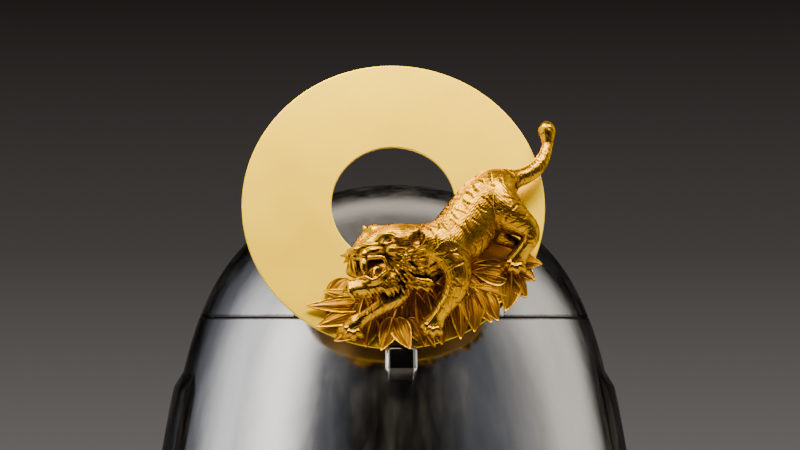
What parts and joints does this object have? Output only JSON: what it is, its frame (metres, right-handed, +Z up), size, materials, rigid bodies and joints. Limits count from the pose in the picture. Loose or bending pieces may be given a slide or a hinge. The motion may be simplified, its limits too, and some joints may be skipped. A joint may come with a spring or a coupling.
{
  "type": "kabuto samurai helmet",
  "caption": "Steel samurai helmet with a plain plated bowl, a waist band and a gilt crest of a pierced disc carrying a tiger on bamboo leaves.",
  "frame": {"origin": "centre of the bounding box in plan, on the plane that the rim rests on", "axes": "+Z up through the crown, -Y out of the brow where the crest stands, +X to the viewer's right when facing the brow"},
  "size_m": [0.2406, 0.2802, 0.2151],
  "materials": {
    "polished_steel": "dark hand-polished steel plate, soft mirror gloss with fine planishing waves",
    "black_lacquer": "black gloss lacquer on steel",
    "satin_gilt": "pale satin gilding on sheet brass",
    "antique_gilt": "antique gilding on cast and chased brass, brown in the recesses",
    "deep_gilt": "deep gilding on cast brass, burnished on the high places, dark patina in the cuts"
  },
  "bodies": {
    "root": {"lower_plate": "polished_steel", "top_plate": "polished_steel", "side_plate_right": "polished_steel", "side_plate_left": "polished_steel", "waist_band": "polished_steel", "crest_post": "black_lacquer", "crest_disc": "satin_gilt", "bamboo_leaves": "antique_gilt", "tiger": "deep_gilt"}
  },
  "joints": []
}
